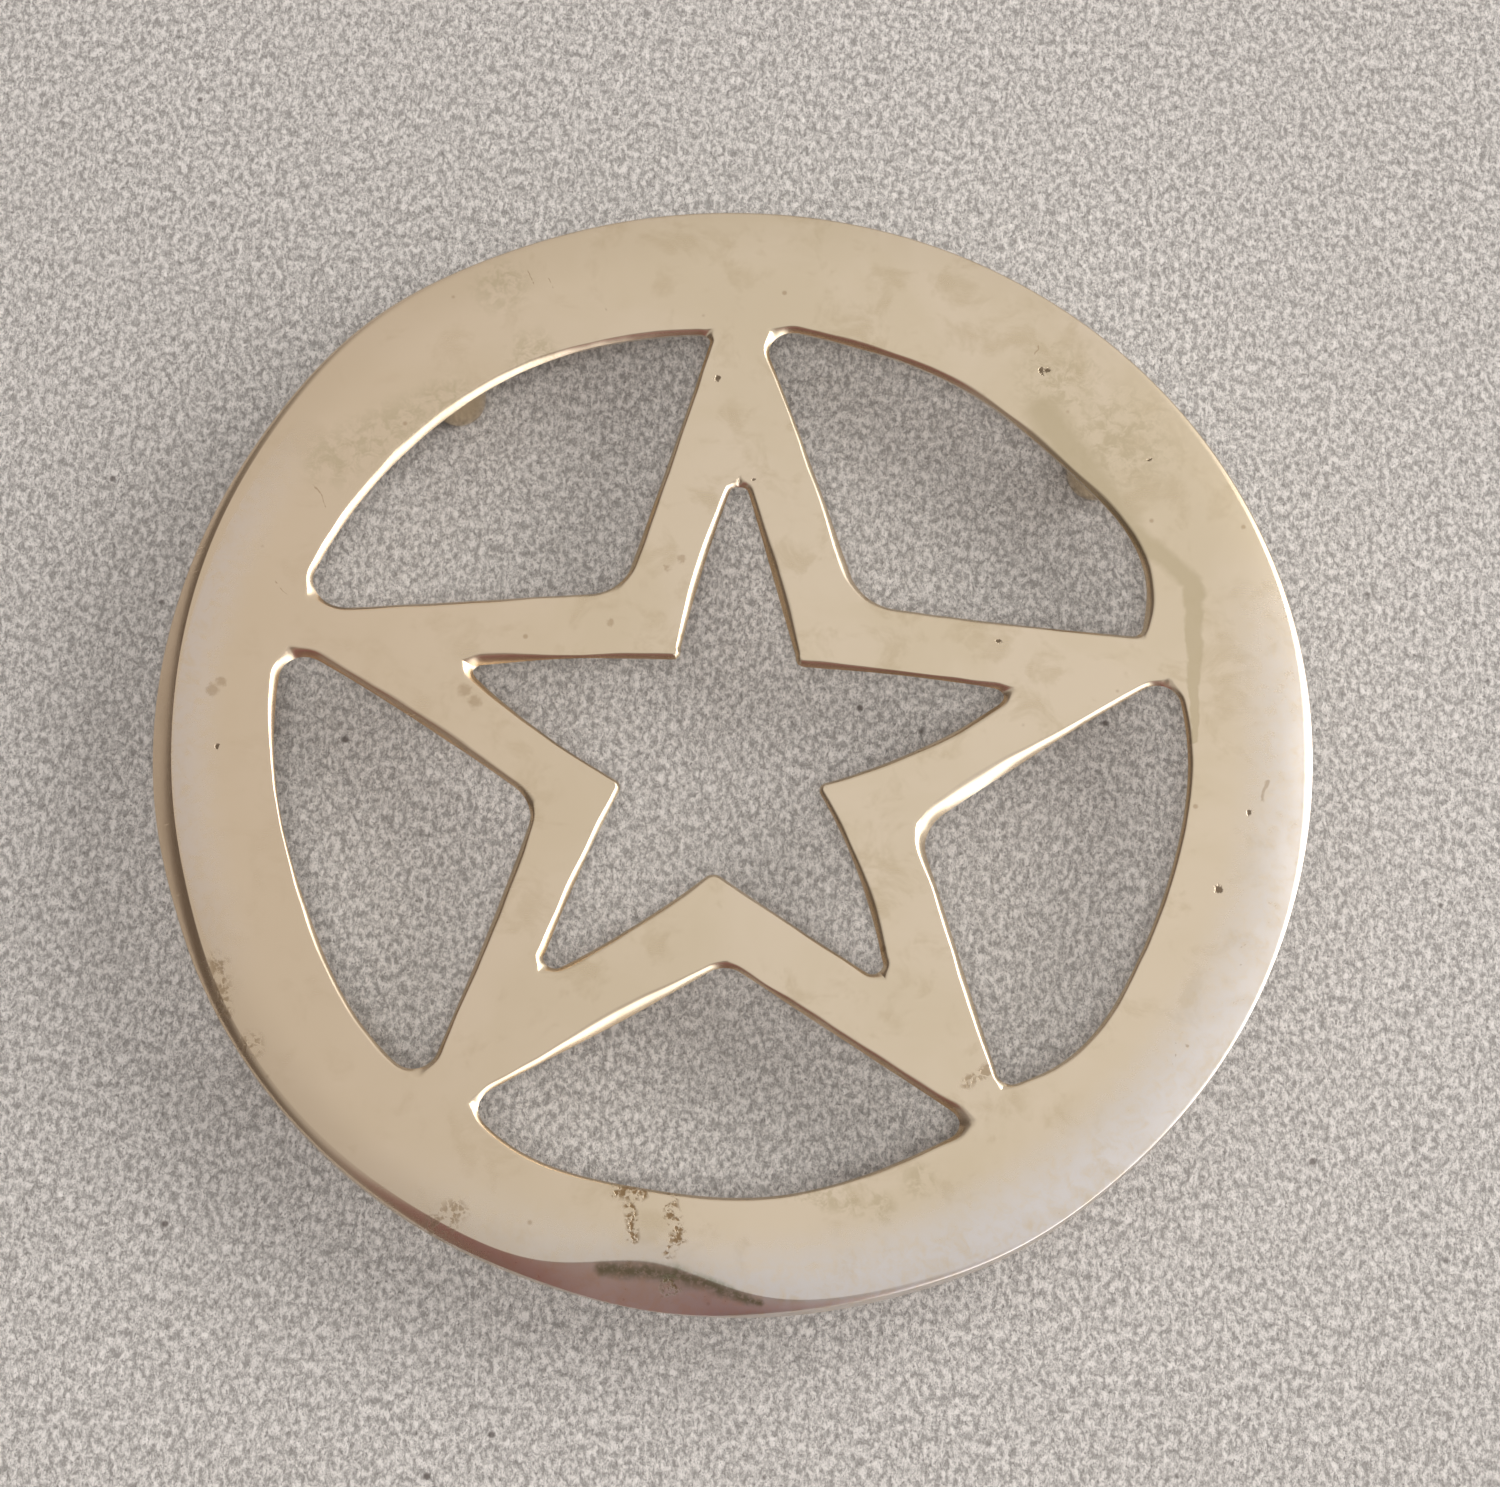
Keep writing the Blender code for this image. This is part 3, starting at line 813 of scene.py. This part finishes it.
    # hairlines left by polishing, in three directions
    lines = None
    for deg, sc in ((18, 1.0), (74, .8), (131, 1.2)):
        m = g.mapping(mm, rot=(0, 0, math.radians(deg)), scale=(.06 * sc, 6.5 * sc, .5))
        n = g.noise(m, 1.0, 3, .65)
        lines = n if lines is None else g.math('ADD', lines, n)
    grime = g.noise(mm, 1.7, 4, .7)
    height = g.math('ADD', height, g.math('MULTIPLY', lines, .00012))
    height = g.math('ADD', height, g.math('MULTIPLY', grime, .0012))
    rough = g.math('ADD', rough, g.math('MULTIPLY', g.ramp(lines, 1.4, 1.9), .012))
    if plate:
        cast = g.noise(mm, 1.1, 5, .65)
        height = g.math('ADD', height, g.math('MULTIPLY', g.math('MULTIPLY', cast, under), .25))
    bump = g.bump(height, .8, .001)
    g.put(bsdf.inputs['Base Color'], base)
    g.put(bsdf.inputs['Roughness'], g.math('MINIMUM', rough, .8))
    bsdf.inputs['Metallic'].default_value = 1.0
    g.put(bsdf.inputs['Normal'], bump)
    return mat


COLOURS = {
    'brass': rgb(227, 209, 181), 'brass_pale': rgb(233, 215, 190), 'left_side_painted_shade': rgb(226, 203, 175),
    'tarnish': rgb(204, 184, 150), 'haze_and_sheen': rgb(228, 221, 216), 'haze_left': rgb(228, 214, 203), 'run': rgb(205, 188, 156),
    'smear': rgb(140, 142, 112), 'spot': rgb(160, 132, 96), 'pit': rgb(92, 74, 54), 'crumb': rgb(138, 110, 74),
}
# small marks on the face, mm: x, y, radius
SPOTS = ((-37.5, 4.6, .85), (-35.8, 3.0, .95), (-71.8, 3.2, .75), (-70.8, 4.4, .7), (-55.3, 17.2, 1.0),
         (-10.3, 24.0, .5), (-8.4, 25.4, .6), (-17.9, 15.6, .5), (20.0, -29.3, .45), (21.3, -29.3, .4))
PITS = ((-4.6, 53.1, .42), (41.3, 56.4, .50), (42.1, 56.5, .35), (66.2, -19.0, .62), (70.6, -8.0, .45),
        (35.8, 15.4, .33), (56.6, 43.6, .28), (-70.6, -4.9, .35), (1.0, 37.8, .2), (-28.5, 51.5, .22))
NICKS = ((73.0, -3.6, 72.2, -6.4, .32, .18), (40.3, 60.2, 39.8, 57.5, .12, .10), (70.5, -26.5, 69.3, -27.3, .10, .06),
         (69.3, -29.5, 68.0, -30.2, .10, .06), (62.2, -41.2, 60.6, -41.0, .12, .06), (60.7, -42.6, 60.2, -44.2, .10, .06),
         (-33.0, 69.5, -31.2, 66.0, .10, .07), (-29.5, 67.3, -28.9, 66.0, .08, .07), (-60.4, 34.3, -58.0, 30.0, .14, .07),
         (-64.5, 19.5, -61.7, 16.5, .10, .06), (-21.0, 63.0, -20.4, 61.7, .08, .05), (12.7, -41.2, 14.6, -41.6, .16, .08))


def steel_material():
    mat = bpy.data.materials.new("stud_steel")
    mat.use_nodes = True
    g = Nodes(mat.node_tree)
    out = g.new('ShaderNodeOutputMaterial')
    bsdf = g.new('ShaderNodeBsdfPrincipled')
    g.t.links.new(bsdf.outputs[0], out.inputs[0])
    mm = g.vmath('SCALE', g.new('ShaderNodeTexCoord').outputs['Object'], scale=1000.0)
    n = g.noise(mm, 1.2, 4, .6)
    g.put(bsdf.inputs['Base Color'], g.mix(g.ramp(n, .3, .7), rgb(176, 172, 165), rgb(140, 134, 126)))
    g.put(bsdf.inputs['Roughness'], g.ramp(n, .3, .7, .28, .45))
    bsdf.inputs['Metallic'].default_value = 1.0
    turning = g.noise(g.mapping(mm, scale=(.2, .2, 9)), 1.0, 2, .5)
    g.put(bsdf.inputs['Normal'], g.bump(g.math('MULTIPLY', turning, .02), .8, .001))
    return mat


def floor_material():
    mat = bpy.data.materials.new("pale_render_floor")
    mat.use_nodes = True
    g = Nodes(mat.node_tree)
    out = g.new('ShaderNodeOutputMaterial')
    bsdf = g.new('ShaderNodeBsdfPrincipled')
    g.t.links.new(bsdf.outputs[0], out.inputs[0])
    mm = g.vmath('SCALE', g.new('ShaderNodeTexCoord').outputs['Object'], scale=1000.0)
    drawn = g.mapping(mm, rot=(0, 0, .12), scale=(1.0, .66, 1.0))
    a = g.noise(drawn, 1.15, 6, .80, .25)
    b = g.noise(drawn, 2.6, 3, .6, .2)
    big = g.noise(mm, .02, 3, .5)
    base = g.mix(g.ramp(a, .39, .62), rgb(152, 147, 142), rgb(239, 233, 227))
    base = g.mix(g.math('MULTIPLY', g.ramp(b, .43, .32), .7), base, rgb(108, 102, 97))
    base = g.mix(g.math('MULTIPLY', big, .25), base, rgb(182, 176, 169))
    v = g.voronoi(mm, .11)
    pick = g.new('ShaderNodeSeparateColor')
    g.put(pick.inputs[0], v.outputs['Color'])
    dot = g.math('MULTIPLY', g.ramp(v.outputs['Distance'], .075, .03), g.math('GREATER_THAN', pick.outputs[0], .72))
    base = g.mix(g.math('MULTIPLY', dot, .8), base, rgb(88, 78, 72))
    g.put(bsdf.inputs['Base Color'], base)
    bsdf.inputs['Roughness'].default_value = .85
    h = g.math('ADD', g.math('MULTIPLY', a, .95), g.math('MULTIPLY', b, .30))
    g.put(bsdf.inputs['Normal'], g.bump(h, 1.0, .001))
    return mat


# ---------------------------------------------------------------- build
plate = make_plate()
plate.data.materials.append(brass_material("aged_cast_brass", True))
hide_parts("star_ring_plate")
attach(plate, "root")

# the feet's brass carries painted shade, darker than the plate
foot_brass = brass_material("foot_brass_painted_shade", False)
for k in (1, 2, 3, 4):
    foot = make_foot(k)
    foot.data.materials.append(foot_brass)
    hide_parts("foot_%d" % k)
    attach(foot, "root")

steel = steel_material()
for n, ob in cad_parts.items():
    if n.startswith("foot_stud"):
        if ob.material_slots:
            for s in ob.material_slots:
                s.material = steel
        else:
            ob.data.materials.append(steel)

# ---------------------------------------------------------------- stage
bpy.ops.mesh.primitive_grid_add(x_subdivisions=8, y_subdivisions=8, size=12.0)
floor = bpy.context.object
floor.name = "floor"
floor.data.materials.append(floor_material())

scene = bpy.context.scene
world = bpy.data.worlds.new("soft_room")
scene.world = world
world.use_nodes = True
g = Nodes(world.node_tree)
w_out = g.new('ShaderNodeOutputWorld')
bg = g.new('ShaderNodeBackground')
g.t.links.new(bg.outputs[0], w_out.inputs[0])
d = g.new('ShaderNodeTexCoord').outputs['Generated']
sep = g.new('ShaderNodeSeparateXYZ')
g.put(sep.inputs[0], d)
dx, dy, dz = sep.outputs


def toward(v, lo, hi):
    L = math.sqrt(sum(c * c for c in v))
    return g.ramp(g.vmath('DOT_PRODUCT', d, tuple(c / L for c in v)), lo, hi)


# a pale room: bright window side at +X, dim wall at -X, a person standing at -Y, ceiling above
sky = g.mix(g.ramp(dx, -.75, .75, kind='LINEAR'), (.63, .605, .575, 1), (.81, .80, .785, 1))
sky = g.mix(g.ramp(dy, .38, 0.0), sky, g.mix(1.0, sky, (.84, .84, .86, 1), 'MULTIPLY'))
low = g.ramp(dz, .76, .40)
window = g.math('MULTIPLY', g.ramp(dz, .66, .34), toward((.95, -.18, .20), .38, .84))
sky = g.mix(window, sky, (2.7, 2.7, 2.75, 1))
sky = g.mix(g.math('MULTIPLY', low, toward((-1, .1, 0), .35, .92)), sky, (.13, .105, .09, 1))
sky = g.mix(g.math('MULTIPLY', toward((.12, .27, .95), .945, .995), .6), sky, (.92, .91, .90, 1))
body = g.math('MAXIMUM', toward((-.16, -.87, .42), .80, .88), toward((-.05, -.60, .80), .90, .95))
cloth = g.mix(g.ramp(dz, .74, .56), (.37, .275, .25, 1), (.25, .118, .122, 1))
cloth = g.mix(g.ramp(dz, .50, .30), cloth, (.20, .125, .105, 1))
sky = g.mix(body, sky, cloth)
sky = g.mix(toward((.05, -.46, .89), .975, .988), sky, (.22, .20, .19, 1))
g.put(bg.inputs[0], sky)
bg.inputs[1].default_value = .97


def area(name, loc, target, sx, sy, power, colour=(1, 1, 1)):
    lamp = bpy.data.lights.new(name, 'AREA')
    lamp.shape = 'RECTANGLE'
    lamp.size, lamp.size_y = sx, sy
    lamp.energy = power
    lamp.color = colour
    ob = bpy.data.objects.new(name, lamp)
    scene.collection.objects.link(ob)
    ob.location = loc
    ob.rotation_euler = (Vector(target) - Vector(loc)).to_track_quat('-Z', 'Y').to_euler()
    return ob


fill = area("fill", (.003, -.356, 1.04), (0, 0, 0), .30, .30, 7.0, (1.0, 1.0, 1.0))
fill.visible_glossy = False
area("window", (1.15, .35, .85), (0, 0, 0), 1.1, .9, 13.5, (1.0, .99, .975))

# ---------------------------------------------------------------- camera
cam = bpy.data.cameras.new("camera")
cam.sensor_width = 36.0
cam.lens = 96.0
cam.clip_start, cam.clip_end = .01, 50.0
eye = bpy.data.objects.new("camera", cam)
scene.collection.objects.link(eye)
right = Vector((.99904897, .04041302, .01636908))
up = Vector((-.04353572, .94529623, .32329503))
back = Vector((-.0024083, -.3237002, .94615663))
M = Matrix((right, up, back)).transposed().to_4x4()
M.translation = Vector((.00079963, -.1785022, .53418007))
eye.matrix_world = M
scene.camera = eye
scene.view_settings.view_transform = 'Standard'
